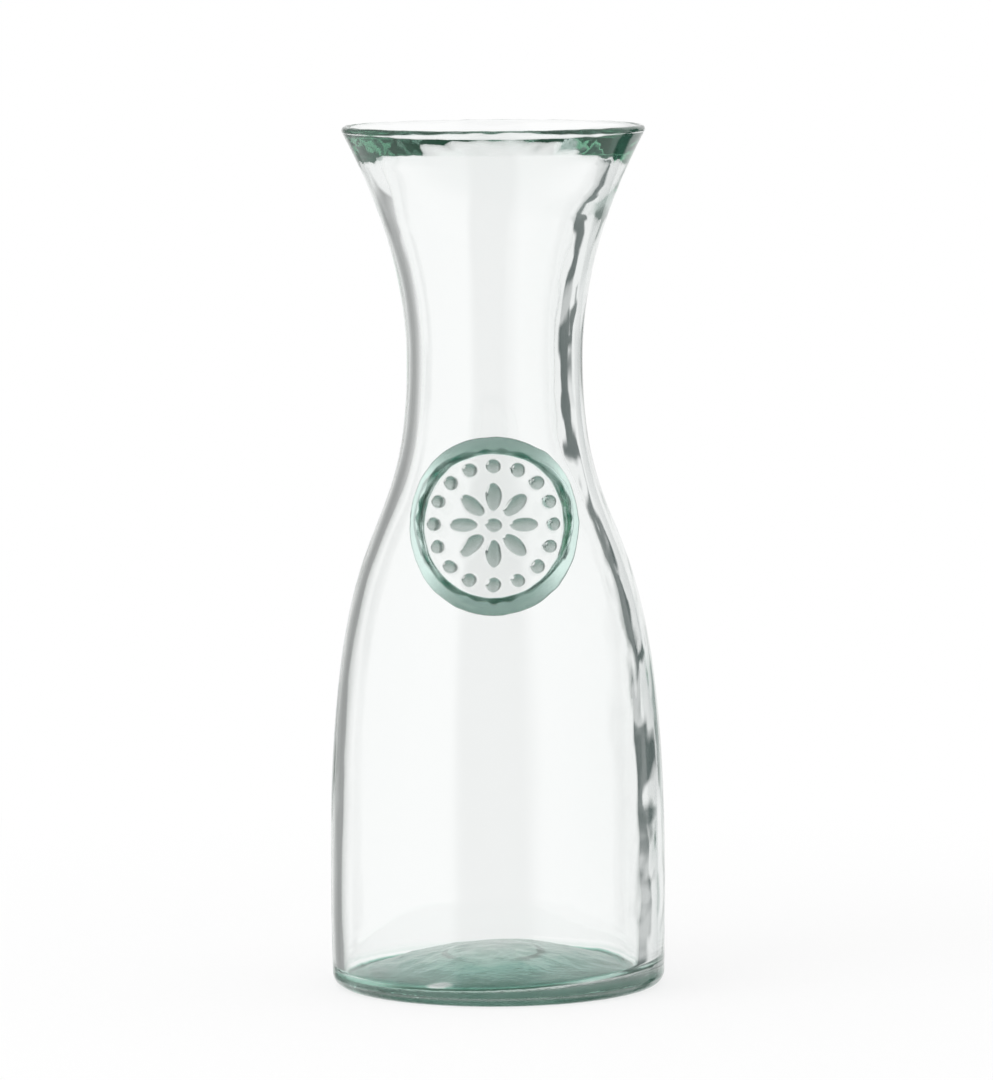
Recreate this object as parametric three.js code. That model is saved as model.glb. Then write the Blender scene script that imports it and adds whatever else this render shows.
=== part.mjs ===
// Carafe of thick recycled glass with a flared mouth, and the stamped glass seal on its shoulder.
// Millimetres and degrees, +Z up, origin at the centre of the foot, front towards -Y.

import * as THREE from "three";

// Carafe, outside
const HEIGHT = 265;
const FOOT_RADIUS = 51.3;
const HEEL_ROUND = 4.2;
const REST_RING_WIDTH = 9;
const PUNT_HEIGHT = 5;
const BELLY_RADIUS = 51.6;
const BELLY_HEIGHT = 34;
const SHOULDER_REACH = 122.5;
const NECK_RADIUS = 27;
const NECK_BELOW_LIP = 72;
const NECK_DROP = 63;
const NECK_RISE = 14;
const MOUTH_RADIUS = 46.5;
const FLARE_ANGLE = 28;
const FLARE_REACH = 36;
const LIP_OUTER_ROUND = 1.3;

// Carafe, inside
const LIP_INNER_ROUND = 1.5;
const LIP_LEAN = 20;
const LIP_DEPTH = 0.5;
const BEVEL_LEAN = 50;
const BEVEL_LOW_LEAN = 42;
const BEVEL_DEPTH = 5.8;
const BEVEL_EASE = 24;
const BEVEL_EASE_PULL = 0.4;
const WALL = 4.8;
const NECK_WALL = 5.8;
const FLOOR_EDGE_HEIGHT = 4;
const FLOOR_CENTRE_GLASS = 7.4;
const FLOOR_CORNER = 3.5;
const FLOOR_LEAN = 18;

// Seal: a round gob of glass that was stamped while hot
const SEAL_DIAMETER = 55.5;
const SEAL_HEIGHT = 145;
const SEAL_TURN = -1;
const SEAL_GAP = 0.3;
const SEAL_EDGE = 0.6;
const SEAL_FIELD = 1.4;
const SEAL_RING = 3.3;
const SEAL_RING_WIDTH = 5.2;

// Stamped relief of the seal: an outer row of beads, a rosette of petals and a boss
const RELIEF = 1.3;
const BEAD_COUNT = 16;
const BEAD_CIRCLE = 18.6;
const BEAD_DIAMETER = 4.4;
const PETAL_COUNT = 8;
const PETAL_CIRCLE = 9;
const PETAL_LENGTH = 9;
const PETAL_WIDTH = 4.6;
const BOSS_DIAMETER = 5;

// Fineness of the facets
const TURN_STEPS = 48;
const SHOULDER_STEPS = 14;
const FLARE_STEPS = 7;
const FOOT_STEPS = 2;
const INSIDE_STEPS = 20;
const DOME_STEPS = 6;
const ROUND_STEPS = 4;
const BEVEL_STEPS = 4;
const SEAL_TURN_STEPS = 96;
const FIELD_STEPS = 13;
const RING_STEPS = 6;
const BACK_STEPS = 6;
const SEARCH_ROUNDS = 40;

const neckHeight = HEIGHT - NECK_BELOW_LIP;
const flareAngle = THREE.MathUtils.degToRad(FLARE_ANGLE);
const lipLean = THREE.MathUtils.degToRad(LIP_LEAN);
const bevelLean = THREE.MathUtils.degToRad(BEVEL_LEAN);
const bevelLowLean = THREE.MathUtils.degToRad(BEVEL_LOW_LEAN);
const floorLean = THREE.MathUtils.degToRad(FLOOR_LEAN);
const flareAlong = new THREE.Vector2(Math.sin(flareAngle), Math.cos(flareAngle));

// Arc of a round edge in the (radius, height) plane, from one angle to another
function roundEdge(centre, radius, from, to) {
  const points = [];
  for (let i = 0; i <= ROUND_STEPS; i++) {
    const angle = THREE.MathUtils.lerp(from, to, i / ROUND_STEPS);
    points.push(new THREE.Vector2(radius * Math.cos(angle), radius * Math.sin(angle)).add(centre));
  }
  return points;
}

// The point a depth below another one on a surface inside the mouth that leans outwards
function stepDown(point, lean, depth) {
  return new THREE.Vector2(point.x - depth * Math.tan(lean), point.y - depth);
}

// The lip from the outer wall to the bevel: a round outer edge, a round inner edge and its steep inside
function lipPoints() {
  const top = MOUTH_RADIUS - LIP_OUTER_ROUND;
  const outerCentre = new THREE.Vector2(top, HEIGHT - LIP_OUTER_ROUND);
  const innerCentre = new THREE.Vector2(top, HEIGHT - LIP_INNER_ROUND);
  const outer = roundEdge(outerCentre, LIP_OUTER_ROUND, -flareAngle, Math.PI / 2);
  const inner = roundEdge(innerCentre, LIP_INNER_ROUND, Math.PI / 2, Math.PI - lipLean);
  return [...outer, ...inner.slice(1), stepDown(inner.at(-1), lipLean, LIP_DEPTH)];
}

// The outer wall from the heel up to the lip: foot, belly and shoulder, then the flare above the neck
function outerWall(lipStart) {
  const flareStart = flareAlong.clone().multiplyScalar(-FLARE_REACH).add(lipStart);
  const wall = new THREE.Path();
  wall.moveTo(FOOT_RADIUS, HEEL_ROUND);
  wall.quadraticCurveTo(BELLY_RADIUS, (HEEL_ROUND + BELLY_HEIGHT) / 2, BELLY_RADIUS, BELLY_HEIGHT);
  wall.bezierCurveTo(
    BELLY_RADIUS, BELLY_HEIGHT + SHOULDER_REACH,
    NECK_RADIUS, neckHeight - NECK_DROP,
    NECK_RADIUS, neckHeight,
  );
  wall.bezierCurveTo(
    NECK_RADIUS, neckHeight + NECK_RISE,
    flareStart.x, flareStart.y,
    lipStart.x, lipStart.y,
  );
  return wall;
}

const lip = lipPoints();
const wall = outerWall(lip[0]);
const wallLength = wall.getLength();

// A point at a share of the outer wall's length, moved square to the wall by a distance (outwards positive)
function besideWall(share, distance) {
  const along = wall.getTangent(share);
  return wall.getPoint(share).add(new THREE.Vector2(along.y, -along.x).multiplyScalar(distance));
}

// Glass thickness there, easing from the body's wall into the thicker neck
function wallThickness(share) {
  const neckEase = THREE.MathUtils.smoothstep(wall.getPoint(share).y, neckHeight - NECK_DROP, neckHeight);
  return THREE.MathUtils.lerp(WALL, NECK_WALL, neckEase);
}

function innerWallPoint(share) {
  return besideWall(share, -wallThickness(share));
}

// The share of the wall's length at which a point given by pointAt reaches a height
function shareAtHeight(pointAt, height) {
  let low = 0;
  let high = 1;
  for (let i = 0; i < SEARCH_ROUNDS; i++) {
    const middle = (low + high) / 2;
    if (pointAt(middle).y < height) {
      low = middle;
    } else {
      high = middle;
    }
  }
  return low;
}

// The hollow under the base, the level ring that the carafe stands on and the round heel
function undersidePoints() {
  const ringOuter = FOOT_RADIUS - HEEL_ROUND;
  const ringInner = ringOuter - REST_RING_WIDTH;
  const punt = new THREE.CubicBezierCurve(
    new THREE.Vector2(0, PUNT_HEIGHT),
    new THREE.Vector2(ringInner / 2, PUNT_HEIGHT),
    new THREE.Vector2(ringInner / 2, 0),
    new THREE.Vector2(ringInner, 0),
  );
  const heel = roundEdge(new THREE.Vector2(ringOuter, HEEL_ROUND), HEEL_ROUND, -Math.PI / 2, 0);
  return [...punt.getPoints(DOME_STEPS), ...heel];
}

// The bevel below the lip, which leans less and less downwards
function bevelPoints() {
  const points = [];
  let point = lip.at(-1);
  for (let i = 0; i < BEVEL_STEPS; i++) {
    const lean = THREE.MathUtils.lerp(bevelLean, bevelLowLean, (i + 0.5) / BEVEL_STEPS);
    point = stepDown(point, lean, BEVEL_DEPTH / BEVEL_STEPS);
    points.push(point);
  }
  return points;
}

// The span below the bevel, in which the inside runs on into the wall's full thickness
function easePoints(bevelEnd, wallShare) {
  const reach = BEVEL_EASE_PULL * BEVEL_EASE;
  const wallStart = innerWallPoint(wallShare);
  const ease = new THREE.CubicBezierCurve(
    bevelEnd,
    flareAlong.clone().multiplyScalar(-reach).add(bevelEnd),
    wall.getTangent(wallShare).multiplyScalar(reach).add(wallStart),
    wallStart,
  );
  return ease.getPoints(ROUND_STEPS);
}

// The round corner at the foot of the inner wall and the domed floor
function floorPoints(wallEnd) {
  const cornerCentre = new THREE.Vector2(wallEnd.x - FLOOR_CORNER, wallEnd.y);
  const corner = roundEdge(cornerCentre, FLOOR_CORNER, 0, floorLean - Math.PI / 2);
  const crown = PUNT_HEIGHT + FLOOR_CENTRE_GLASS;
  const edge = corner.at(-1);
  const knee = new THREE.Vector2(edge.x - (crown - edge.y) / Math.tan(floorLean), crown);
  const dome = new THREE.QuadraticBezierCurve(edge, knee, new THREE.Vector2(0, crown));
  return [...corner.slice(1), ...dome.getPoints(DOME_STEPS).slice(1)];
}

// The inside from the lip down: bevel, wall, round corner and domed floor
function insidePoints() {
  const bevel = bevelPoints();
  const topShare = shareAtHeight(innerWallPoint, bevel.at(-1).y - BEVEL_EASE);
  const bottomShare = shareAtHeight(innerWallPoint, FLOOR_EDGE_HEIGHT + FLOOR_CORNER);
  const sides = [];
  for (let i = 1; i <= INSIDE_STEPS; i++) {
    sides.push(innerWallPoint(THREE.MathUtils.lerp(topShare, bottomShare, i / INSIDE_STEPS)));
  }
  return [...bevel, ...easePoints(bevel.at(-1), topShare).slice(1), ...sides, ...floorPoints(sides.at(-1))];
}

function carafeBody() {
  const [foot, shoulder, flare] = wall.curves;
  const profile = [
    ...undersidePoints(),
    ...foot.getPoints(FOOT_STEPS).slice(1),
    ...shoulder.getPoints(SHOULDER_STEPS).slice(1),
    ...flare.getPoints(FLARE_STEPS).slice(1, -1),
    ...lip,
    ...insidePoints(),
  ];
  const geometry = new THREE.LatheGeometry(profile, TURN_STEPS);
  geometry.rotateX(Math.PI / 2);
  const glass = new THREE.MeshStandardMaterial({
    color: 0xdcebe6,
    roughness: 0.05,
    metalness: 0,
    transparent: true,
    opacity: 0.45,
  });
  const mesh = new THREE.Mesh(geometry, glass);
  mesh.name = "carafe_body";
  return mesh;
}

// Height of an oval cushion of the given length and width at a place measured from its middle
function cushion(alongLength, alongWidth, length, width) {
  const reach = Math.hypot(alongLength / (length / 2), alongWidth / (width / 2));
  return reach < 1 ? Math.sqrt(1 - reach * reach) : 0;
}

// Height of a row of cushions that lie lengthways out from the middle, spaced evenly round a circle
function cushionCircle(radius, angle, count, circle, length, width) {
  const spacing = (2 * Math.PI) / count;
  const off = angle - Math.round(angle / spacing) * spacing;
  return cushion(radius * Math.cos(off) - circle, radius * Math.sin(off), length, width);
}

// Lift of the stamped relief at a distance from the seal's middle and an angle round it
function relief(radius, angle) {
  const beads = cushionCircle(radius, angle, BEAD_COUNT, BEAD_CIRCLE, BEAD_DIAMETER, BEAD_DIAMETER);
  const petals = cushionCircle(radius, angle, PETAL_COUNT, PETAL_CIRCLE, PETAL_LENGTH, PETAL_WIDTH);
  const boss = cushion(radius, 0, BOSS_DIAMETER, BOSS_DIAMETER);
  return RELIEF * Math.max(beads, petals, boss);
}

// Section of the seal laid flat: its back, the outer edge, the rolled ring and the field inside it
function sealProfile() {
  const outside = SEAL_DIAMETER / 2;
  const fieldEdge = outside - SEAL_RING_WIDTH;
  const profile = [];
  for (let i = 0; i <= BACK_STEPS; i++) {
    profile.push(new THREE.Vector2((outside * i) / BACK_STEPS, 0));
  }
  for (let i = 0; i <= RING_STEPS; i++) {
    const angle = (Math.PI * i) / RING_STEPS;
    const foot = 2 * i < RING_STEPS ? SEAL_EDGE : SEAL_FIELD;
    const across = (SEAL_RING_WIDTH * (1 - Math.cos(angle))) / 2;
    profile.push(new THREE.Vector2(outside - across, THREE.MathUtils.lerp(foot, SEAL_RING, Math.sin(angle))));
  }
  for (let i = FIELD_STEPS - 1; i >= 0; i--) {
    profile.push(new THREE.Vector2((fieldEdge * i) / FIELD_STEPS, SEAL_FIELD));
  }
  return profile;
}

// A place on the flat seal (right, up and out from its middle), wrapped round the front of the carafe
function wrapOnCarafe(right, up, out, middleShare) {
  const share = middleShare + up / wallLength;
  const turn = right / wall.getPoint(share).x;
  const place = besideWall(share, SEAL_GAP + out);
  return [place.x * Math.sin(turn), -place.x * Math.cos(turn), place.y];
}

function seal() {
  const middleShare = shareAtHeight((share) => wall.getPoint(share), SEAL_HEIGHT);
  const geometry = new THREE.LatheGeometry(sealProfile(), SEAL_TURN_STEPS);
  const places = geometry.attributes.position;
  for (let i = 0; i < places.count; i++) {
    const right = places.getX(i);
    const up = -places.getZ(i);
    const out = places.getY(i);
    const lift = out > 0 ? relief(Math.hypot(right, up), Math.atan2(up, right)) : 0;
    places.setXYZ(i, ...wrapOnCarafe(right, up, out + lift, middleShare));
  }
  geometry.computeVertexNormals();
  const glass = new THREE.MeshStandardMaterial({
    color: 0xa9c8bb,
    roughness: 0.08,
    metalness: 0,
    transparent: true,
    opacity: 0.6,
  });
  const mesh = new THREE.Mesh(geometry, glass);
  mesh.name = "seal";
  return mesh;
}

const carafe = new THREE.Group();
const sealPlace = new THREE.Group();
sealPlace.rotation.z = THREE.MathUtils.degToRad(SEAL_TURN);
sealPlace.add(seal());
carafe.add(carafeBody(), sealPlace);

export default carafe;
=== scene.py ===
"""Dresses the packed carafe and its stamped seal in thick recycled glass, on a pale floor in soft light."""

import math

import bpy
from mathutils import Matrix, Vector


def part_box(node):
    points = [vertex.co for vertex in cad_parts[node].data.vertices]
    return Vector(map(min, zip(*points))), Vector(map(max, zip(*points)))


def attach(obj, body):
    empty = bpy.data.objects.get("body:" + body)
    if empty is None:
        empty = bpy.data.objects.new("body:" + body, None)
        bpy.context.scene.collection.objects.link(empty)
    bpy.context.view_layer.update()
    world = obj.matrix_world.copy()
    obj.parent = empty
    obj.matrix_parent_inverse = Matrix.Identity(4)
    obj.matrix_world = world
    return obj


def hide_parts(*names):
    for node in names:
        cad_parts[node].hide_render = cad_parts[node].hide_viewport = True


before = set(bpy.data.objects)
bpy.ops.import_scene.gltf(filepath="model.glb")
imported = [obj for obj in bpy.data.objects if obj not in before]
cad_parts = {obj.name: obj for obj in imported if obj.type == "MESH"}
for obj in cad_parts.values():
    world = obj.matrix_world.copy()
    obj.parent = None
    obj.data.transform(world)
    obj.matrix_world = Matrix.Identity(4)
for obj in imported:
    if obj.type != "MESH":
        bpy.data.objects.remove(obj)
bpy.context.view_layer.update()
BODY_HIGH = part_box("carafe_body")[1]

bl_info = {
    "name": "Recycled glass carafe",
    "version": (1, 0, 0),
    "blender": (4, 5, 0),
    "location": "View3D > Sidebar > Carafe",
    "description": "Blows a thick glass carafe, stamps its seal and sets both in a pale studio",
    "category": "Object",
}

# Fineness of the meshes
TURN_STEPS = 176
WALL_STEP = 0.0024
ROUND_STEPS = 8
DOME_STEPS = 32
CURVE_STEPS = 400
START_SIZE = 0.001
MERGE_DISTANCE = 0.000002
SEAL_TURN_STEPS = 128
SEAL_VOXEL = 0.00032
SEAL_SOFTENING = 0.5
SEAL_SMOOTHING = 6
CUSHION_SEGMENTS = 24
CUSHION_RINGS = 12
# Share of the ease below the bevel over which its two ends keep their direction
EASE_HANDLE = 0.4
# Least distance from the axis at which a place is asked for its direction
AXIS_GAP = 0.001


def length(name, description, default):
    """Property in metres."""
    return bpy.props.FloatProperty(
        name=name, description=description, default=default, unit="LENGTH", subtype="DISTANCE"
    )


def angle(name, description, degrees):
    """Property for an angle, given in degrees."""
    return bpy.props.FloatProperty(
        name=name, description=description, default=math.radians(degrees), unit="ROTATION", subtype="ANGLE"
    )


def colour(name, description, default):
    """Property for a linear colour."""
    return bpy.props.FloatVectorProperty(
        name=name, description=description, default=default, subtype="COLOR", size=3, min=0, max=1
    )


class CarafeSizes(bpy.types.PropertyGroup):
    """Sizes of the carafe's body, as in the part's solids, and the unevenness of its hand-made wall"""

    height: length("Height", "From the floor to the lip", BODY_HIGH.z)
    foot_radius: length("Foot radius", "Radius of the foot above its heel", 0.0513)
    heel_round: length("Heel round", "Round between the wall and the ring it stands on", 0.0042)
    ring_width: length("Ring width", "Width of the level ring it stands on", 0.009)
    punt_height: length("Punt height", "Hollow under the middle of the base", 0.005)
    belly_radius: length("Belly radius", "Largest radius of the wall", BODY_HIGH.x)
    belly_height: length("Belly height", "Height of the largest radius", 0.034)
    shoulder_reach: length("Shoulder reach", "How far the belly keeps its direction upwards", 0.1225)
    neck_radius: length("Neck radius", "Smallest radius of the wall", 0.027)
    neck_below_lip: length("Neck below lip", "Depth of the neck below the lip", 0.072)
    neck_drop: length("Neck drop", "How far the neck keeps its direction downwards", 0.063)
    neck_rise: length("Neck rise", "How far the neck keeps its direction upwards", 0.014)
    mouth_radius: length("Mouth radius", "Radius at the lip", 0.0465)
    flare_angle: angle("Flare angle", "Lean of the wall at the lip", 28)
    flare_reach: length("Flare reach", "How far the flare keeps its lean below the lip", 0.036)
    lip_outer_round: length("Outer lip round", "Round on the outside of the lip", 0.0013)
    lip_inner_round: length("Inner lip round", "Round on the inside of the lip", 0.0015)
    lip_lean: angle("Lip lean", "Lean of the inside of the lip", 20)
    lip_depth: length("Lip depth", "Height of the inside of the lip below its round", 0.0005)
    bevel_lean: angle("Bevel lean", "Lean of the bevel below the lip, at its upper end", 50)
    bevel_low_lean: angle("Lower bevel lean", "Lean of that bevel at its lower end", 42)
    bevel_depth: length("Bevel depth", "Height of that bevel", 0.0058)
    bevel_ease: length("Bevel ease", "Height over which the wall goes on from that bevel", 0.024)
    wall: length("Wall", "Glass thickness of the belly", 0.0048)
    neck_wall: length("Neck wall", "Glass thickness of the neck", 0.0058)
    floor_edge: length("Floor edge", "Height of the inner floor beside its corner", 0.004)
    floor_glass: length("Floor glass", "Glass thickness in the middle of the base", 0.0074)
    floor_corner: length("Floor corner", "Round between inner wall and inner floor", 0.0035)
    floor_lean: angle("Floor lean", "Lean of the inner floor beside its corner", 18)
    floor_rise: length("Floor rise", "How far the inner floor rises on its right", 0.0018)
    floor_drop: length("Floor drop", "How far the inner floor drops on its left", 0.0012)
    hollow_shift: length("Hollow shift", "How far the hollow lies off the middle", 0.0011)
    right_swell: length("Right swell", "Further thickness of the wall on its right", 0.0012)
    inner_ripple: length("Inner ripple", "Unevenness of the inner wall", 0.0005)
    ragged_ripple: length("Ragged ripple", "Further unevenness of the inner wall's right side", 0.0003)
    fine_ripple: length("Fine ripple", "Finest unevenness of the inner wall's right side", 0.00014)
    seam_ripple: length("Seam ripple", "Unevenness of the mould seam round the heel", 0.0005)
    outer_ripple: length("Outer ripple", "Unevenness of the outer wall", 0.0002)
    bevel_ripple: length("Bevel ripple", "Unevenness of the bevel inside the mouth", 0.0003)
    floor_ripple: length("Floor ripple", "Unevenness of the inner floor", 0.0006)


class SealSizes(bpy.types.PropertyGroup):
    """Sizes of the stamped glass seal on the shoulder"""

    diameter: length("Diameter", "Diameter of the seal", 0.0555)
    height: length("Height", "Height of its middle above the floor", 0.145)
    turn: angle("Turn", "Turn of the seal round the carafe", -1)
    sink: length("Sink", "How far its back has melted into the wall", 0.0006)
    edge: length("Edge", "Thickness at its outer edge", 0.0006)
    field: length("Field", "Thickness of the field inside the ring", 0.0014)
    ring: length("Ring", "Thickness of the rolled ring", 0.0033)
    ring_width: length("Ring width", "Width of the rolled ring", 0.0052)
    relief: length("Relief", "Lift of the stamped beads and petals", 0.0013)
    bead_circle: length("Bead circle", "Radius of the circle of beads", 0.0186)
    bead_diameter: length("Bead diameter", "Diameter of a bead", 0.0044)
    petal_circle: length("Petal circle", "Radius to the middle of a petal", 0.009)
    petal_length: length("Petal length", "Length of a petal", 0.009)
    petal_width: length("Petal width", "Width of a petal", 0.0046)
    boss_diameter: length("Boss diameter", "Diameter of the boss in the middle", 0.005)
    bead_count: bpy.props.IntProperty(name="Beads", description="Number of beads", default=16, min=3)
    petal_count: bpy.props.IntProperty(name="Petals", description="Number of petals", default=8, min=3)
    wobble: length("Wobble", "How far the hot stamp drew its lines astray", 0.0007)


class GlassLook(bpy.types.PropertyGroup):
    """Tint and surface of the recycled glass"""

    tint: colour("Tint", "Colour that a little of the glass lets through", (0.958, 0.966, 0.964))
    seal_tint: colour(
        "Seal tint", "Colour that a little of the seal's glass lets through", (0.965, 0.985, 0.978)
    )
    shallow_tint: colour("Shallow tint", "Colour of the base where its glass is shallow", (0.33, 0.59, 0.485))
    middle_tint: colour("Middle tint", "Colour of the base half way down", (0.055, 0.25, 0.175))
    deep_tint: colour("Deep tint", "Colour of the base where its glass is deep", (0.004, 0.065, 0.035))
    relief_tint: colour("Relief tint", "Colour of the stamped relief", (0.08, 0.145, 0.12))
    mint_tint: colour("Mint tint", "Colour of the rolled ring's sides", (0.78, 0.95, 0.9))
    # Painted shade: the ring's top and bottom take this darker colour, and its inner edge the darkest one
    # below
    ring_tint_and_shade: colour("Ring tint", "Colour of the rolled ring's top and bottom", (0.33, 0.45, 0.41))
    edge_shade_tint: colour("Edge tint", "Colour of the rolled ring's inner edge", (0.01, 0.075, 0.045))
    density: bpy.props.FloatProperty(
        name="Density", description="Strength of the tint, per metre of glass", default=100, min=0
    )
    # Painted glow: a faint green light given off by the glass itself, which is no lamp
    painted_glow: colour("Glow", "Colour of light that strays far inside the glass", (0.25, 1.0, 0.6))
    painted_glow_strength: bpy.props.FloatProperty(
        name="Glow strength", description="Strength of that light at each turn", default=0.003, min=0
    )
    bend: bpy.props.FloatProperty(name="Refraction", description="Index of refraction", default=1.52, min=1)


class StudioLook(bpy.types.PropertyGroup):
    """Floor, background and lamps"""

    floor: colour("Floor", "Colour of the floor", (0.9, 0.9, 0.9))
    background: colour("Background", "Colour of the background", (1.0, 1.0, 1.0))
    camera_side: colour(
        "Camera side", "Colour that mirrored light finds round the camera", (0.36, 0.36, 0.36)
    )
    below: colour("Below", "Colour that mirrored light finds below the carafe", (0.12, 0.2, 0.165))
    dark: colour("Dark", "Darkest colour that light trapped in the glass finds", (0.02, 0.05, 0.042))
    emerald: colour("Emerald", "Brightest colour that light trapped in the glass finds", (0.26, 0.62, 0.4))
    sky: bpy.props.FloatProperty(name="Sky", description="Soft light from all round", default=0.95, min=0)
    lamp: bpy.props.FloatProperty(
        name="Lamp", description="Power of the soft lamp", default=4, min=0, unit="POWER"
    )


class Shade:
    """An output socket of a node tree; arithmetic on it adds Math nodes to that tree."""

    def __init__(self, tree, socket=None):
        self.tree = tree
        self.socket = socket

    def node(self, kind, settings=None, inputs=None, output=0):
        """Adds a node with its settings, then the values or links of its sockets, and returns one output."""
        made = self.tree.nodes.new(kind)
        for key, value in (settings or {}).items():
            if key == "stops":
                set_stops(made.color_ramp, value)
            else:
                setattr(made, key, value)
        for key, value in (inputs or {}).items():
            if isinstance(value, Shade):
                self.tree.links.new(value.socket, made.inputs[key])
            else:
                made.inputs[key].default_value = value
        return Shade(self.tree, made.outputs[output] if made.outputs else None)

    def other(self, output):
        """Another output of the same node."""
        return Shade(self.tree, self.socket.node.outputs[output])

    def sum_up(self, operation, first, second):
        """Adds a Math node."""
        return self.node("ShaderNodeMath", {"operation": operation}, {0: first, 1: second})

    def __add__(self, value):
        return self.sum_up("ADD", self, value)

    def __radd__(self, value):
        return self.sum_up("ADD", value, self)

    def __sub__(self, value):
        return self.sum_up("SUBTRACT", self, value)

    def __rsub__(self, value):
        return self.sum_up("SUBTRACT", value, self)

    def __mul__(self, value):
        return self.sum_up("MULTIPLY", self, value)

    def __rmul__(self, value):
        return self.sum_up("MULTIPLY", value, self)

    def __truediv__(self, value):
        return self.sum_up("DIVIDE", self, value)

    def __gt__(self, value):
        return self.sum_up("GREATER_THAN", self, value)


def set_stops(ramp, stops):
    """Gives a colour ramp its stops, each a position and a colour."""
    while len(ramp.elements) > 1:
        ramp.elements.remove(ramp.elements[-1])
    for number, (position, shade) in enumerate(stops):
        element = ramp.elements[0] if number == 0 else ramp.elements.new(position)
        element.position = position
        element.color = (*shade, 1)


def mix(shade, share, first, second):
    """Colour between two colours."""
    return shade.node(
        "ShaderNodeMix", {"data_type": "RGBA"}, {"Factor": share, "A": first, "B": second}, output="Result"
    )


def noise(shade, place, scale, detail):
    """Smooth clouds from 0 to 1."""
    return shade.node("ShaderNodeTexNoise", inputs={"Vector": place, "Scale": scale, "Detail": detail})


def kept_mask(shade, name):
    """A mask that was kept on the vertices."""
    return shade.node("ShaderNodeAttribute", {"attribute_name": name}, output="Fac")


def ease(shade, value, start, end):
    """Goes from 0 to 1, eased, as a value goes from start to end."""
    return shade.node(
        "ShaderNodeMapRange",
        {"interpolation_type": "SMOOTHSTEP"},
        {"Value": value, "From Min": start, "From Max": end},
    )


def bezier(points, share):
    """Point of a Bezier curve of any degree."""
    points = [Vector(point) for point in points]
    while len(points) > 1:
        points = [first.lerp(second, share) for first, second in zip(points, points[1:])]
    return points[0]


def bezier_points(points, steps):
    """Points along a Bezier curve, its ends among them."""
    return [bezier(points, step / steps) for step in range(steps + 1)]


def round_edge(centre, radius, start, end, steps=ROUND_STEPS):
    """Arc in the (radius, height) plane."""
    turns = [start + (end - start) * step / steps for step in range(steps + 1)]
    return [centre + radius * Vector((math.cos(turn), math.sin(turn))) for turn in turns]


def smooth_step(value, low, high):
    """Goes from 0 to 1, eased, as a value goes from low to high."""
    share = min(max((value - low) / (high - low), 0), 1)
    return share * share * (3 - 2 * share)


def reach_of(place):
    """Distance from the upright axis."""
    return math.hypot(place.x, place.y)


def lip_points(sizes):
    """The lip from the outer wall to the bevel inside the mouth."""
    top = sizes.mouth_radius - sizes.lip_outer_round
    outer_centre = Vector((top, sizes.height - sizes.lip_outer_round))
    inner_centre = Vector((top, sizes.height - sizes.lip_inner_round))
    outer = round_edge(outer_centre, sizes.lip_outer_round, -sizes.flare_angle, math.pi / 2)
    inner = round_edge(inner_centre, sizes.lip_inner_round, math.pi / 2, math.pi - sizes.lip_lean)
    below = inner[-1] - Vector((math.tan(sizes.lip_lean), 1)) * sizes.lip_depth
    return outer + inner[1:] + [below]


def bevel_points(sizes):
    """The bevel below the lip, which leans less and less downwards."""
    point = lip_points(sizes)[-1]
    points = []
    for step in range(ROUND_STEPS):
        share = (step + 0.5) / ROUND_STEPS
        lean = sizes.bevel_lean + (sizes.bevel_low_lean - sizes.bevel_lean) * share
        point = point - Vector((math.tan(lean), 1)) * sizes.bevel_depth / ROUND_STEPS
        points.append(point)
    return points


class WallCurve:
    """The outer wall from heel to lip in the (radius, height) plane, measured along its length."""

    def __init__(self, sizes):
        self.sizes = sizes
        lip_start = lip_points(sizes)[0]
        along = Vector((math.sin(sizes.flare_angle), math.cos(sizes.flare_angle)))
        flare_start = lip_start - along * sizes.flare_reach
        self.neck_height = sizes.height - sizes.neck_below_lip
        belly = Vector((sizes.belly_radius, sizes.belly_height))
        neck = Vector((sizes.neck_radius, self.neck_height))
        foot = Vector((sizes.foot_radius, sizes.heel_round))
        foot_span = [foot, (belly.x, (foot.y + belly.y) / 2), belly]
        neck_pull = Vector((neck.x, neck.y - sizes.neck_drop))
        shoulder_span = [belly, (belly.x, belly.y + sizes.shoulder_reach), neck_pull, neck]
        flare_span = [neck, (neck.x, neck.y + sizes.neck_rise), flare_start, lip_start]
        self.points = [foot]
        for span in (foot_span, shoulder_span, flare_span):
            self.points += bezier_points(span, CURVE_STEPS)[1:]
        self.lengths = [0.0]
        for first, second in zip(self.points, self.points[1:]):
            self.lengths.append(self.lengths[-1] + (second - first).length)
        self.length = self.lengths[-1]

    def at(self, distance):
        """Point on the wall and the direction square to it, outwards."""
        distance = min(max(distance, 0), self.length)
        low, high = 0, len(self.lengths) - 1
        while high - low > 1:
            middle = (low + high) // 2
            if self.lengths[middle] <= distance:
                low = middle
            else:
                high = middle
        along = self.points[high] - self.points[low]
        share = (distance - self.lengths[low]) / along.length
        along.normalize()
        return self.points[low].lerp(self.points[high], share), Vector((along.y, -along.x))

    def distance_at(self, height):
        """Length along the wall at which it reaches a height."""
        for number, point in enumerate(self.points):
            if point.y >= height:
                return self.lengths[number]
        return self.length

    def thickness(self, distance):
        """Glass thickness, easing from the belly's wall into the thicker neck."""
        sizes = self.sizes
        height = self.at(distance)[0].y
        neck_ease = smooth_step(height, self.neck_height - sizes.neck_drop, self.neck_height)
        return sizes.wall + (sizes.neck_wall - sizes.wall) * neck_ease

    def inside(self, distance):
        """Point on the inner wall."""
        point, outwards = self.at(distance)
        return point - outwards * self.thickness(distance)


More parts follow.
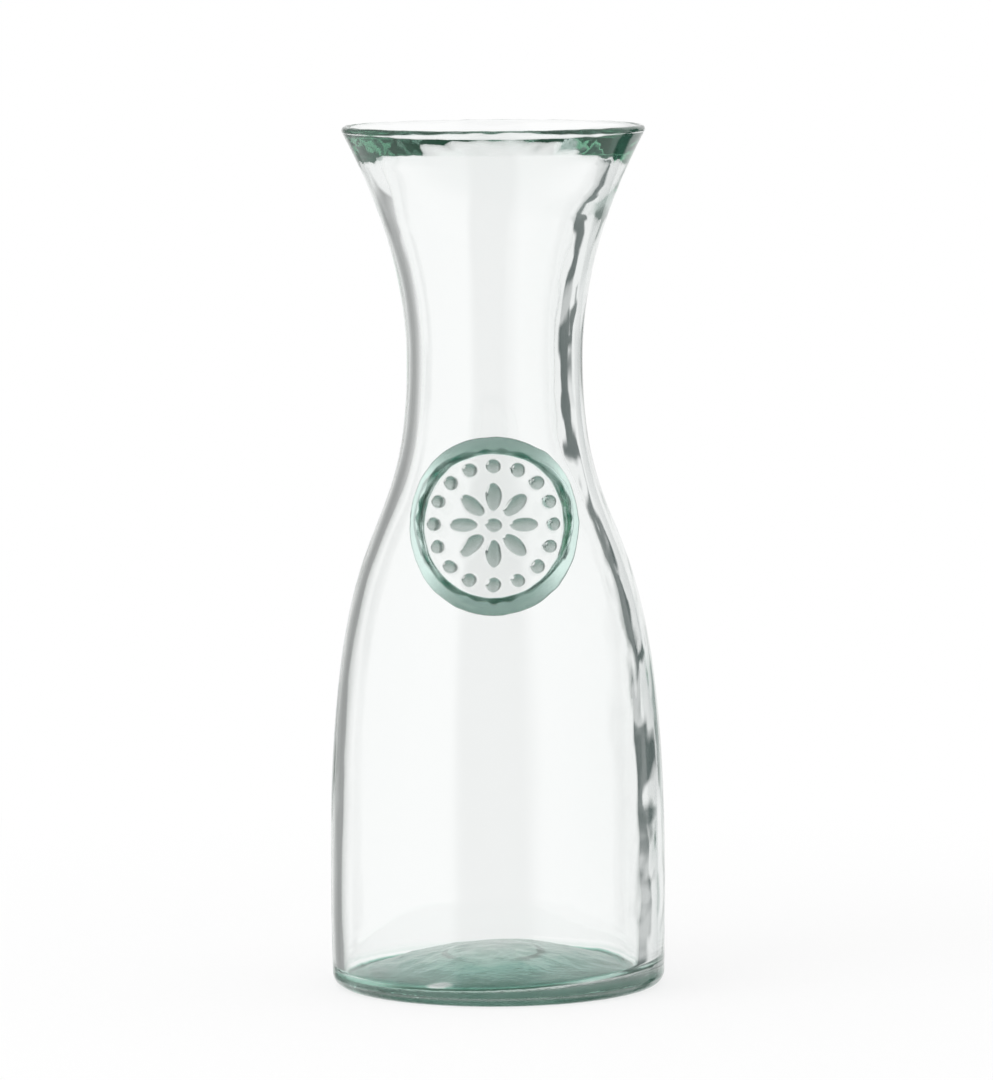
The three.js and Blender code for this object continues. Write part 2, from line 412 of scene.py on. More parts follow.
def underside_points(sizes):
    """Hollow under the base, the ring it stands on and the heel."""
    ring_outer = sizes.foot_radius - sizes.heel_round
    ring_inner = ring_outer - sizes.ring_width
    punt = [(0, sizes.punt_height), (ring_inner / 2, sizes.punt_height), (ring_inner / 2, 0), (ring_inner, 0)]
    heel = round_edge(Vector((ring_outer, sizes.heel_round)), sizes.heel_round, -math.pi / 2, 0)
    middle = Vector(((ring_inner + ring_outer) / 2, 0))
    return bezier_points(punt, DOME_STEPS) + [middle] + heel


def inside_points(sizes, curve):
    """Inner wall from the lip down, the round corner and the domed floor."""
    points = bevel_points(sizes)
    bevel_end = points[-1]
    distance = curve.distance_at(bevel_end.y)
    while curve.inside(distance).y > bevel_end.y - sizes.bevel_ease:
        distance -= WALL_STEP / 4
    wall_start = curve.inside(distance)
    reach = EASE_HANDLE * sizes.bevel_ease
    flare = Vector((math.sin(sizes.flare_angle), math.cos(sizes.flare_angle)))
    upwards = (wall_start - curve.inside(distance - WALL_STEP)).normalized()
    ease = [bevel_end, bevel_end - flare * reach, wall_start + upwards * reach, wall_start]
    points += bezier_points(ease, ROUND_STEPS)[1:]
    corner_top = sizes.floor_edge + sizes.floor_corner
    distance -= WALL_STEP
    while curve.inside(distance).y > corner_top:
        points.append(curve.inside(distance))
        distance -= WALL_STEP
    edge = points[-1].x - sizes.floor_corner
    lean = sizes.floor_lean
    corner = round_edge(Vector((edge, corner_top)), sizes.floor_corner, 0, lean - math.pi / 2)
    crown = sizes.punt_height + sizes.floor_glass
    foot = corner[-1]
    knee = Vector((foot.x - (crown - foot.y) / math.tan(lean), crown))
    floor = [foot, knee, (0, crown)]
    return points + corner[1:] + bezier_points(floor, DOME_STEPS)[1:]


def carafe_profile(sizes, curve):
    """Half section of the carafe, from the middle of its underside round to the middle of its floor."""
    steps = round(curve.length / WALL_STEP)
    wall = [curve.at(curve.length * step / steps)[0] for step in range(1, steps)]
    return underside_points(sizes) + wall + lip_points(sizes) + inside_points(sizes, curve)


def spin_profile(name, profile, steps):
    """Draws a half section from a single vertex and spins it into a closed shape."""
    bpy.ops.object.select_all(action="DESELECT")
    start = Vector((profile[0].x, 0, profile[0].y))
    bpy.ops.mesh.primitive_plane_add(size=START_SIZE, location=(0, 0, 0))
    piece = bpy.context.object
    piece.name = name
    piece.data.name = name
    bpy.ops.object.mode_set(mode="EDIT")
    bpy.ops.mesh.select_all(action="SELECT")
    bpy.ops.mesh.merge(type="CENTER")
    bpy.ops.transform.translate(value=start)
    for first, second in zip(profile, profile[1:]):
        step = second - first
        bpy.ops.mesh.extrude_vertices_move(TRANSFORM_OT_translate={"value": (step.x, 0, step.y)})
    bpy.ops.mesh.select_all(action="SELECT")
    bpy.ops.mesh.spin(steps=steps, angle=2 * math.pi, center=(0, 0, 0), axis=(0, 0, 1))
    bpy.ops.mesh.select_all(action="SELECT")
    bpy.ops.mesh.remove_doubles(threshold=MERGE_DISTANCE)
    bpy.ops.mesh.normals_make_consistent(inside=False)
    bpy.ops.object.mode_set(mode="OBJECT")
    return piece


def weigh(piece, name, weight_at):
    """Vertex group whose weights come from each vertex's place and normal."""
    group = piece.vertex_groups.new(name=name)
    for vertex in piece.data.vertices:
        weight = weight_at(vertex.co, vertex.normal)
        if weight > 0:
            group.add([vertex.index], weight, "REPLACE")


# Size of the clouds in each unevenness, and how far blowing drew them out upwards
CLOUDS = {
    "inner_ripple": (0.03, 3),
    "ragged_ripple": (0.009, 4),
    "fine_ripple": (0.004, 1.5),
    "seam_ripple": (0.003, 1),
    "bevel_ripple": (0.005, 5),
    "floor_ripple": (0.006, 1),
    "outer_ripple": (0.03, 1.5),
    "wobble_right": (0.006, 1),
    "wobble_up": (0.007, 1),
}


def press(piece, name, strength, group="", direction="NORMAL"):
    """Moves the surface by a steady push or, where the push has clouds, to and fro by them."""
    grain, stretch = CLOUDS.get(name, (0, 1))
    push = piece.modifiers.new(name, "DISPLACE")
    push.direction = direction
    push.strength = strength
    push.vertex_group = group
    push.mid_level = 0.5 if grain else 0
    place = None
    if grain:
        clouds = bpy.data.textures.new(name, type="CLOUDS")
        clouds.noise_scale = grain
        clouds.noise_depth = 1
        push.texture = clouds
        place = bpy.data.objects.new(name, None)
        bpy.context.scene.collection.objects.link(place)
        place.scale = (1, 1, stretch)
        bpy.context.view_layer.update()
        push.texture_coords = "OBJECT"
        push.texture_coords_object = place
    bpy.context.view_layer.objects.active = piece
    bpy.ops.object.modifier_apply(modifier=push.name)
    if place:
        bpy.data.objects.remove(place)


# Patterns in the glass: scales of their clouds, and how far each shows
WAVE_STRETCH = (1, 1, 0.45)
GRIT_SCALE = 600.0
GRIT_SHARE = 2.8
HAZE_SCALE = 60.0
HAZE_ROUGHNESS = 0.03
FROST_ROUGHNESS = 0.5
GREEN_SCALE = 120.0
GREEN_LEAST = 0.6
GREEN_SHARE = 0.8
BODY_WAVES = {"ripple": 0.00012, "grain": 55.0}
SEAL_WAVES = {"ripple": 0.0001, "grain": 220.0}
# Depths at which the tints of the base, and those of the seal's ring, are reached; the ring's top and bottom
# tint is painted shade
SHALLOW_AT = 0.3
MIDDLE_AT = 0.6
MINT_AT = 0.33
RING_SHADE_AT = 0.67
# Colour of glass that nothing tints further
CLEAR = (1, 1, 1)


def stamped_colour(shade, look):
    """Clear in the seal's field, darker on the relief and the ring, by the masks kept on its vertices, which
    hold painted shade on the ring and painted highlights and shade on the relief.
    """
    stops = [(0, CLEAR), (MINT_AT, look.mint_tint), (RING_SHADE_AT, look.ring_tint_and_shade), (1, look.edge_shade_tint)]
    ringed = shade.node("ShaderNodeValToRGB", {"stops": stops}, {"Fac": kept_mask(shade, "ring")})
    return mix(shade, kept_mask(shade, "relief"), ringed, (*look.relief_tint, 1))


def deep_colour(shade, look):
    """Clear along the wall, green where the glass is deep, by the mask kept on its vertices, which also holds
    a painted highlight spot and a painted highlight line.
    """
    place = shade.node("ShaderNodeTexCoord", output="Object")
    clouds = noise(shade, place, GREEN_SCALE, detail=4.0)
    stops = [(0, CLEAR), (SHALLOW_AT, look.shallow_tint), (MIDDLE_AT, look.middle_tint), (1, look.deep_tint)]
    depth = kept_mask(shade, "deep") * (GREEN_LEAST + clouds * GREEN_SHARE)
    return shade.node("ShaderNodeValToRGB", {"stops": stops}, {"Fac": depth})


def glass_material(name, tint, look, painted, ripple, grain):
    """Clear recycled glass: its tint comes from its depth, its surface is faintly rippled, and it gives off a
    faint painted green glow.
    """
    material = bpy.data.materials.new(name)
    material.use_nodes = True
    tree = material.node_tree
    tree.nodes.clear()
    shade = Shade(tree)
    place = shade.node("ShaderNodeTexCoord", output="Object")
    long_place = shade.node("ShaderNodeMapping", inputs={"Vector": place, "Scale": WAVE_STRETCH})
    waves = noise(shade, long_place, grain, detail=2.0)
    grit = noise(shade, place, GRIT_SCALE, detail=3.0)
    height = waves + grit * kept_mask(shade, "deep") * GRIT_SHARE
    bump = shade.node("ShaderNodeBump", inputs={"Strength": 1.0, "Distance": ripple, "Height": height})
    haze = noise(shade, place, HAZE_SCALE, detail=3.0)
    surface = shade.node(
        "ShaderNodeBsdfPrincipled",
        inputs={
            "Base Color": painted(shade, look),
            "Roughness": haze * HAZE_ROUGHNESS + kept_mask(shade, "frost") * FROST_ROUGHNESS,
            "IOR": look.bend,
            "Transmission Weight": 1.0,
            # Painted glow: every surface of the glass gives off a faint green light
            "Emission Color": (*look.painted_glow, 1),
            "Emission Strength": look.painted_glow_strength,
            "Normal": bump,
        },
    )
    depth = shade.node("ShaderNodeVolumeAbsorption", inputs={"Color": (*tint, 1), "Density": look.density})
    shade.node("ShaderNodeOutputMaterial", inputs={"Surface": surface, "Volume": depth})
    return material


def finish_piece(piece, material, node):
    """Gives a finished mesh its glass and its place in the frame."""
    piece.data.materials.clear()
    piece.data.materials.append(material)
    bpy.ops.object.select_all(action="DESELECT")
    piece.select_set(True)
    bpy.context.view_layer.objects.active = piece
    bpy.ops.object.shade_smooth()
    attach(piece, "root")
    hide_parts(node)


def seam_height(sizes):
    """Height of the mould seam, three quarters of the way round the heel."""
    return sizes.heel_round * (1 - math.cos(0.75 * math.pi / 2))


# How far a face has to lean to count as wall, as floor or as underside
WALL_FACING = 0.2
FLOOR_FACING = 0.02
UNDERSIDE_FACING = 0.5
# Heights below which a level face is the inner floor, and below which glass belongs to the base
FLOOR_LIMIT = 0.03
BASE_LIMIT = 0.02
# Green of the base, from 0 where it is clear to 1 where it is deepest
HEEL_GREEN = 0.42
HEEL_FADE = 0.0015
# Painted highlight: a thin lighter line in the heel's green along the mould seam, and the distances over
# which it fades
SEAM_PAINTED_HIGHLIGHT = 0.38
SEAM_HIGHLIGHT_FADE = (0.0002, 0.0007)
BACK_SHARE = 0.25
FRONT_TURN = (-0.3, 0.3)
FLOOR_GREEN = 0.22
FLOOR_EDGE_GREEN = 0.72
FLOOR_GREEN_START = 0.004
LEVEL_GREEN = (0.7, 0.9)
# Painted highlight: a round spot at the front left of the inner floor where the green is taken out, standing
# in for a reflected window, and the distances over which it fades
BASE_HIGHLIGHT_SPOT = Vector((-0.0165, -0.038))
BASE_HIGHLIGHT_SPOT_FADE = (0.003, 0.005)
# Dullness of the inner floor, where the underside has 1
FLOOR_DULLNESS = 0.35


def keep_depth(piece, sizes):
    """Keeps on each vertex how far it belongs to the deep glass of the base, less at a painted highlight spot
    and a painted highlight line, and how dull it is.
    """
    deep = piece.data.attributes.new("deep", "FLOAT", "POINT")
    frost = piece.data.attributes.new("frost", "FLOAT", "POINT")
    inner_edge = sizes.foot_radius - sizes.wall
    ring_edge = sizes.foot_radius - sizes.heel_round
    for vertex in piece.data.vertices:
        height = vertex.co.z
        reach = reach_of(vertex.co)
        forwards = smooth_step(-vertex.co.y / max(reach, AXIS_GAP), *FRONT_TURN)
        front = BACK_SHARE + (1 - BACK_SHARE) * forwards
        # Painted highlight line along the mould seam
        seam = 1 - smooth_step(abs(height - seam_height(sizes)), *SEAM_HIGHLIGHT_FADE)
        low = 1 - smooth_step(height, sizes.floor_edge, sizes.floor_edge + HEEL_FADE)
        heel = front * (HEEL_GREEN - SEAM_PAINTED_HIGHLIGHT * seam) * low
        # Painted highlight spot on the inner floor
        highlight_spot = 1 - smooth_step((vertex.co.xy - BASE_HIGHLIGHT_SPOT).length, *BASE_HIGHLIGHT_SPOT_FADE)
        spread = smooth_step(reach, FLOOR_GREEN_START, inner_edge)
        floor = (FLOOR_GREEN + FLOOR_EDGE_GREEN * spread) * (1 - highlight_spot)
        inside = reach < inner_edge and vertex.normal.z > FLOOR_FACING and height < BASE_LIMIT
        underside = reach < ring_edge and vertex.normal.z < -UNDERSIDE_FACING and height < BASE_LIMIT
        level = smooth_step(vertex.normal.z, *LEVEL_GREEN)
        deep.data[vertex.index].value = floor * level if inside else 0 if underside else heel
        frost.data[vertex.index].value = FLOOR_DULLNESS * level if inside else 1 if underside else 0


# Share of the floor edge's height from which the hollow's wall starts
WALL_START = 0.9
# Ranges over which the unevenness of the glass sets in or ends: heights
INNER_HEIGHTS = (0.008, 0.02)
OUTER_HEIGHTS = (0.004, 0.02)
TILT_HEIGHTS = (0.009, 0.026)
BELLY_HEIGHTS = (0.078, 0.105)
NECK_HEIGHTS = (0.148, 0.17)
BEVEL_BELOW_LIP = (0.012, 0.009)
SEAM_HALF_WIDTH = 0.0003
# Then distances from the axis, turns to the right side and how level a face is
SWELL_REACH = (0.006, 0.016)
SWELL_SIDE = (0.2, 0.9)
RAGGED_SIDE = (0.5, 0.95)
FLOOR_LEVEL = (0.85, 0.93)
BEVEL_LEVEL = (0.4, 0.6)
# Share of the belly's swelling that the neck has
NECK_SWELL = 0.6


def outwards(place, normal):
    """How far a face looks away from the axis."""
    return (place.x * normal.x + place.y * normal.y) / max(reach_of(place), AXIS_GAP)


def rightwards(place, low, high):
    """Goes from 0 to 1 towards the carafe's right side."""
    return smooth_step(place.x / max(reach_of(place), AXIS_GAP), low, high)


class GlassRegions:
    """Regions of the carafe's glass: how far, from 0 to 1, a place with its normal belongs to each."""

    def __init__(self, sizes):
        self.sizes = sizes

    def hollow(self, place, normal):
        sizes = self.sizes
        on_wall = outwards(place, normal) < -WALL_FACING and place.z > WALL_START * sizes.floor_edge
        is_level = normal.z > FLOOR_FACING and place.z < FLOOR_LIMIT
        on_floor = is_level and reach_of(place) < sizes.foot_radius - sizes.wall
        if not on_wall and not on_floor:
            return 0
        ease_foot = sizes.height - sizes.bevel_depth - sizes.bevel_ease
        return 1 - smooth_step(place.z, ease_foot, ease_foot + sizes.bevel_ease / 2)

    def inner_wall(self, place, normal):
        return self.hollow(place, normal) * smooth_step(place.z, *INNER_HEIGHTS)

    def outer_wall(self, place, normal):
        return smooth_step(place.z, *OUTER_HEIGHTS) if outwards(place, normal) > WALL_FACING else 0

    def swollen_side(self, place, normal):
        belly = 1 - smooth_step(place.z, *BELLY_HEIGHTS)
        neck = NECK_SWELL * smooth_step(place.z, *NECK_HEIGHTS)
        clear = smooth_step(reach_of(place), *SWELL_REACH)
        return self.hollow(place, normal) * clear * rightwards(place, *SWELL_SIDE) * max(belly, neck)

    def ragged_side(self, place, normal):
        return self.inner_wall(place, normal) * rightwards(place, *RAGGED_SIDE)

    def low_hollow(self, place, normal):
        return self.hollow(place, normal) * (1 - smooth_step(place.z, *TILT_HEIGHTS))

    def floor_right(self, place, normal):
        return self.low_hollow(place, normal) * max(place.x / self.sizes.belly_radius, 0)

    def floor_left(self, place, normal):
        return self.low_hollow(place, normal) * max(-place.x / self.sizes.belly_radius, 0)

    def floor(self, place, normal):
        is_low = self.hollow(place, normal) and place.z < BASE_LIMIT
        return smooth_step(normal.z, *FLOOR_LEVEL) if is_low else 0

    def bevel(self, place, normal):
        heights = [self.sizes.height - depth for depth in BEVEL_BELOW_LIP]
        return smooth_step(normal.z, *BEVEL_LEVEL) * smooth_step(place.z, *heights)

    def heel_seam(self, place, normal):
        sizes = self.sizes
        on_heel = reach_of(place) > sizes.foot_radius - sizes.heel_round and normal.z < 0
        return 1 if on_heel and abs(place.z - seam_height(sizes)) < SEAM_HALF_WIDTH else 0

    def uneven(self):
        """The regions that are pressed."""
        walls = [self.hollow, self.inner_wall, self.outer_wall, self.swollen_side, self.ragged_side]
        return walls + [self.floor_right, self.floor_left, self.floor, self.bevel, self.heel_seam]


class CARAFE_OT_blow_body(bpy.types.Operator):
    """Spins the carafe's section, then lets its wall settle unevenly"""

    bl_idname = "carafe.blow_body"
    bl_label = "Blow the carafe"

    def execute(self, context):
        sizes = context.scene.carafe_sizes
        piece = spin_profile("carafe_glass", carafe_profile(sizes, WallCurve(sizes)), TURN_STEPS)
        for region in GlassRegions(sizes).uneven():
            weigh(piece, region.__name__, region)
        keep_depth(piece, sizes)
        press(piece, "floor_rise", sizes.floor_rise, "floor_right", direction="Z")
        press(piece, "floor_drop", -sizes.floor_drop, "floor_left", direction="Z")
        press(piece, "right_swell", -sizes.right_swell, "swollen_side", direction="X")
        press(piece, "hollow_shift", -sizes.hollow_shift, "hollow", direction="X")
        press(piece, "inner_ripple", sizes.inner_ripple, "inner_wall")
        press(piece, "ragged_ripple", sizes.ragged_ripple, "ragged_side")
        press(piece, "fine_ripple", sizes.fine_ripple, "ragged_side")
        press(piece, "seam_ripple", sizes.seam_ripple, "heel_seam")
        press(piece, "bevel_ripple", sizes.bevel_ripple, "bevel")
        press(piece, "floor_ripple", sizes.floor_ripple, "floor")
        press(piece, "outer_ripple", -sizes.outer_ripple, "outer_wall")
        piece.vertex_groups.clear()
        look = context.scene.glass_look
        glass = glass_material("recycled_glass", look.tint, look, deep_colour, **BODY_WAVES)
        finish_piece(piece, glass, "carafe_body")
        return {"FINISHED"}


def seal_profile(sizes):
    """Section of the seal laid flat: back, outer edge, rolled ring and field."""
    outside = sizes.diameter / 2
    steps = 2 * ROUND_STEPS
    profile = [Vector((0, 0)), Vector((outside, 0))]
    for step in range(steps + 1):
        turn = math.pi * step / steps
        foot = sizes.edge if 2 * step < steps else sizes.field
        across = sizes.ring_width * (1 - math.cos(turn)) / 2
        profile.append(Vector((outside - across, foot + (sizes.ring - foot) * math.sin(turn))))
    profile.append(Vector((0, sizes.field)))
    return profile


def add_cushion(along, across, sizes, turn, circle):
    """A flattened round swelling of the relief, turned to its place round the seal's middle."""
    bpy.ops.object.select_all(action="DESELECT")
    bpy.ops.mesh.primitive_uv_sphere_add(
        segments=CUSHION_SEGMENTS,
        ring_count=CUSHION_RINGS,
        radius=1,
        location=Matrix.Rotation(turn, 4, "Z") @ Vector((circle, 0, sizes.field)),
        rotation=(0, 0, turn),
        scale=(along / 2, across / 2, sizes.relief),
    )
    return bpy.context.object


# The ring's colour: 0 in the field, then its sides, its top and bottom darkened as painted shade, and 1 at
# its wavy inner edge, painted dark as painted shade beside the field
RING_START = (-0.0002, 0.0004)
SIDE_DEPTH = 0.3
UPRIGHT_SHADE_DEPTH = 0.4
UPRIGHT_TURN = (0.5, 0.95)
EDGE_WIDTH = 0.0011
EDGE_FADE = 0.0004
EDGE_WAVE = 0.0005
EDGE_WAVES = (2, 5)
EDGE_WAVE_START = 0.6
EDGE_LUMP = 0.0003
EDGE_LUMPS = (19, 3, 4)
COLOUR_LUMP = 0.14
COLOUR_LUMPS = (13, 2, 3)
# The relief's colour: shares of its lift over which it sets in, the facing and edge of its painted
# highlights, and its painted shade on upward-facing sides
RELIEF_RISE = (0.12, 0.4)
RELIEF_HIGHLIGHT_FACING = Vector((-0.62, 0.3, 0.72)).normalized()
RELIEF_HIGHLIGHT_EDGE = (0.95, 0.985)
RELIEF_SHADE_PART = 0.2
RELIEF_SHADE_TURN = (-0.4, 0.4)


def drifting_wave(turn, count, drift, drift_count):
    """A wave round the seal whose pace drifts, so that its lumps differ."""
    return math.sin(count * turn + drift * math.sin(drift_count * turn))


def keep_masks(piece, sizes):
    """Keeps on each vertex the depth of the ring's colour, with painted shade in it, and how far it belongs
    to the stamped relief, less at painted highlights and more at painted shade.
    """
    field_edge = sizes.diameter / 2 - sizes.ring_width
    ring_start = [field_edge + distance for distance in RING_START]
    relief_rise = [sizes.field + share * sizes.relief for share in RELIEF_RISE]
    ring = piece.data.attributes.new("ring", "FLOAT", "POINT")
    relief = piece.data.attributes.new("relief", "FLOAT", "POINT")
    for vertex in piece.data.vertices:
        reach = reach_of(vertex.co)
        turn = math.atan2(vertex.co.y, vertex.co.x)
        on_ring = smooth_step(reach, *ring_start)
        # Painted shade: the ring's top and bottom darker than its sides
        upright = smooth_step(abs(math.sin(turn)), *UPRIGHT_TURN)
        # Painted shade along the ring's inner edge beside the field, its width and darkness wavy
        wave = math.sin(EDGE_WAVES[0] * turn + EDGE_WAVE_START) * math.sin(EDGE_WAVES[1] * turn)
        width = EDGE_WIDTH + EDGE_WAVE * wave + EDGE_LUMP * drifting_wave(turn, *EDGE_LUMPS)
        lumps = 1 - COLOUR_LUMP + COLOUR_LUMP * drifting_wave(turn, *COLOUR_LUMPS)
        edge = lumps * (1 - smooth_step(reach, field_edge + width, field_edge + width + EDGE_FADE))
        depth = (SIDE_DEPTH + UPRIGHT_SHADE_DEPTH * upright) * (1 - edge) + edge
        raised = smooth_step(vertex.co.z, *relief_rise)
        # Painted highlight: the relief goes clear where its faces turn up and to the left
        painted_highlight = smooth_step(vertex.normal.dot(RELIEF_HIGHLIGHT_FACING), *RELIEF_HIGHLIGHT_EDGE)
        # Painted shade: the relief's upward-facing sides are darker
        painted_shade = 1 - RELIEF_SHADE_PART + RELIEF_SHADE_PART * smooth_step(vertex.normal.y, *RELIEF_SHADE_TURN)
        ring.data[vertex.index].value = on_ring * depth
        relief.data[vertex.index].value = raised * (1 - on_ring) * (1 - painted_highlight) * painted_shade


class CARAFE_OT_stamp_seal(bpy.types.Operator):
    """Stamps the seal flat, then wraps it round the shoulder"""

    bl_idname = "carafe.stamp_seal"
    bl_label = "Stamp the seal"

    def execute(self, context):
        sizes = context.scene.seal_sizes
        curve = WallCurve(context.scene.carafe_sizes)
        piece = spin_profile("seal_glass", seal_profile(sizes), SEAL_TURN_STEPS)
        swellings = [add_cushion(sizes.boss_diameter, sizes.boss_diameter, sizes, 0, 0)]
        for number in range(sizes.bead_count):
            turn = 2 * math.pi * number / sizes.bead_count
            bead = add_cushion(sizes.bead_diameter, sizes.bead_diameter, sizes, turn, sizes.bead_circle)
            swellings.append(bead)
        for number in range(sizes.petal_count):
            turn = 2 * math.pi * number / sizes.petal_count
            petal = add_cushion(sizes.petal_length, sizes.petal_width, sizes, turn, sizes.petal_circle)
            swellings.append(petal)
        bpy.ops.object.select_all(action="DESELECT")
        for part in [*swellings, piece]:
            part.select_set(True)
        context.view_layer.objects.active = piece
        bpy.ops.object.join()
        skin = piece.modifiers.new("melt_together", "REMESH")
        skin.mode = "VOXEL"
        skin.voxel_size = SEAL_VOXEL
        bpy.ops.object.modifier_apply(modifier=skin.name)
        soften = piece.modifiers.new("soften", "SMOOTH")
        soften.factor = SEAL_SOFTENING
        soften.iterations = SEAL_SMOOTHING
        bpy.ops.object.modifier_apply(modifier=soften.name)
        keep_masks(piece, sizes)
        press(piece, "wobble_right", sizes.wobble, direction="X")
        press(piece, "wobble_up", sizes.wobble, direction="Y")
        middle = curve.distance_at(sizes.height)
        for vertex in piece.data.vertices:
            right, up, out = vertex.co
            point, away = curve.at(middle + up)
            turn = right / point.x + sizes.turn
            place = point + away * (out - sizes.sink)
            vertex.co = (place.x * math.sin(turn), -place.x * math.cos(turn), place.y)
        look = context.scene.glass_look
        glass = glass_material("seal_glass", look.seal_tint, look, stamped_colour, **SEAL_WAVES)
        finish_piece(piece, glass, "seal")
        return {"FINISHED"}


# Brightness of the studio round the carafe, by compass angle: 0 is straight behind it and 90 its right side
STUDIO_ROUND = ((-180, 0.94), (-147, 1.0), (29, 0.95), (146, 0.88), (180, 0.94))
# How far the dim side of the camera covers it for mirrored light, by compass angle
CAMERA_SIDE = ((-180, 1), (-154, 1), (-147, 0), (146, 0), (154, 1), (180, 1))
# Flags beside the white sweep: colour, and how far each covers by compass angle and by elevation
FLAG_GREY = (0.33, 0.33, 0.33)
FLAG_DARK = (0.07, 0.09, 0.09)
FLAGS = (
    (
        FLAG_GREY,
        ((-56, 0), (-46, 0.7), (-36, 1), (-28, 1), (-21, 0.7), (-14, 0)),
        ((-17, 0), (-14, 1), (40, 1), (50, 0)),
    ),
    (
        FLAG_DARK,
        ((33, 0), (36, 1), (50, 1), (53, 0)),
        ((-38, 0), (-35, 1), (-12, 1), (-11, 0.45), (-7.6, 0.45), (-7, 1), (11, 1), (14, 0)),
    ),
    (
        FLAG_DARK,
        ((25, 0), (28, 1), (38, 1), (41, 0)),
        ((-39, 0), (-36, 1), (-28, 1), (-25, 0)),
    ),
    (
        FLAG_DARK,
        ((17, 0), (20, 1), (45, 1), (48, 0)),
        ((-6.9, 0), (-6.4, 1), (-3.6, 1), (-2.6, 0)),
    ),
)
# How much emerald, rather than dark green, light finds that was trapped in the glass, by compass angle
EMERALD_ROUND = (
    (-180, 0.5), (-145, 0.5), (-125, 0), (-90, 0), (-60, 0.4), (0, 0.3), (60, 0), (175, 0), (180, 0.5)
)
# How far that light finds the white floor instead, by elevation
LOW_WHITE = ((-90, 1), (-50, 1), (-38, 0), (90, 0))
# Patches of dark green and emerald: scale of their clouds, and the range from one to the other
PATCH_SCALE = 8.0
PATCH_RANGE = (0.45, 1.05)
# Upward parts of a direction between which mirrored light runs into the dark below the carafe
SUNK_RANGE = (-0.6, -0.85)
# Share of that dark which light finds that was mirrored more than once
MIRRORED_DARK = 0.35
# Counts above which light was mirrored, mirrored again or trapped in the glass
MIRRORED = 0.5
MIRRORED_AGAIN = 1.5
TRAPPED = 9.5
# Counts of surfaces above which light went through glass, and through the seal as well as both walls
THROUGH_GLASS = 0.5
THROUGH_SEAL = 4.5


def ramp(shade, turn, stops):
    """Value at an angle in radians, from stops of degrees and values."""
    greys = [(0.5 + degrees / 360, (value, value, value)) for degrees, value in stops]
    return shade.node("ShaderNodeValToRGB", {"stops": greys}, {"Fac": turn / (2 * math.pi) + 0.5})


def studio_round(shade, place, studio):
    """Colour that mirrored light finds: the studio by the compass, its flags, and the dark far below."""
    parts = shade.node("ShaderNodeSeparateXYZ", inputs={0: place})
    compass = shade.node("ShaderNodeMath", {"operation": "ARCTAN2"}, {0: parts, 1: parts.other("Y")})
    rise = shade.node("ShaderNodeMath", {"operation": "ARCSINE"}, {0: parts.other("Z")})
    mirrors = shade.node("ShaderNodeLightPath", output="Glossy Depth")
    level = ramp(shade, compass, STUDIO_ROUND)
    dimmed = ramp(shade, compass, CAMERA_SIDE) * (mirrors > MIRRORED)
    level = mix(shade, dimmed, level, (*studio.camera_side, 1))
    for flag, flag_round, flag_height in FLAGS:
        cover = ramp(shade, compass, flag_round) * ramp(shade, rise, flag_height)
        level = mix(shade, cover, level, (*flag, 1))
    level = mix(shade, ease(shade, parts.other("Z"), *SUNK_RANGE), level, (*studio.below, 1))
    level = mix(shade, (mirrors > MIRRORED_AGAIN) * MIRRORED_DARK, level, (*studio.below, 1))
    patches = noise(shade, place, PATCH_SCALE, detail=4.0)
    share = ease(shade, patches + ramp(shade, compass, EMERALD_ROUND), *PATCH_RANGE)
    trapped = mix(shade, share, (*studio.dark, 1), (*studio.emerald, 1))
    trapped = mix(shade, ramp(shade, rise, LOW_WHITE), trapped, (*studio.background, 1))
    return mix(shade, mirrors > TRAPPED, level, trapped)


def strayed(shade):
    """One for light that was mirrored on its way or went through the seal as well as both walls."""
    mirrors = shade.node("ShaderNodeLightPath", output="Glossy Depth")
    walls = mirrors.other("Transmission Depth")
    count = (mirrors > MIRRORED) + (walls > THROUGH_SEAL)
    return count > 0


# The floor: its size, the range over which it runs out into white, and how far its paper shows
FLOOR_RADIUS = 0.6
FLOOR_SEGMENTS = 128
FLOOR_FADE = (0.16, 0.42)
PAPER_SHARE = 0.22


def make_floor(studio):
    """A pale disc that keeps the carafe's shadow and runs out into the white background."""
    bpy.ops.object.select_all(action="DESELECT")
    bpy.ops.mesh.primitive_circle_add(vertices=FLOOR_SEGMENTS, radius=FLOOR_RADIUS, fill_type="NGON")
    floor = bpy.context.object
    floor.name = "studio_floor"
    material = bpy.data.materials.new("studio_floor")
    material.use_nodes = True
    material.node_tree.nodes.clear()
    shade = Shade(material.node_tree)
    place = shade.node("ShaderNodeTexCoord", output="Object")
    reach = shade.node("ShaderNodeVectorMath", {"operation": "LENGTH"}, {0: place}, output="Value")
    mirrored = strayed(shade)
    paper = shade.node("ShaderNodeBsdfDiffuse", inputs={"Color": (*studio.floor, 1)})
    white = shade.node("ShaderNodeEmission", inputs={"Color": (*studio.background, 1), "Strength": 1.0})
    through = shade.node("ShaderNodeLightPath", output="Transmission Depth") > THROUGH_GLASS
    bright = 1 - (1 - through) * (1 - ease(shade, reach, *FLOOR_FADE)) * PAPER_SHARE
    seen = shade.node("ShaderNodeMixShader", inputs={0: bright, 1: paper, 2: white})
    gone = shade.node("ShaderNodeBsdfTransparent")
    surface = shade.node("ShaderNodeMixShader", inputs={0: mirrored, 1: seen, 2: gone})
    shade.node("ShaderNodeOutputMaterial", inputs={"Surface": surface})
    floor.data.materials.append(material)


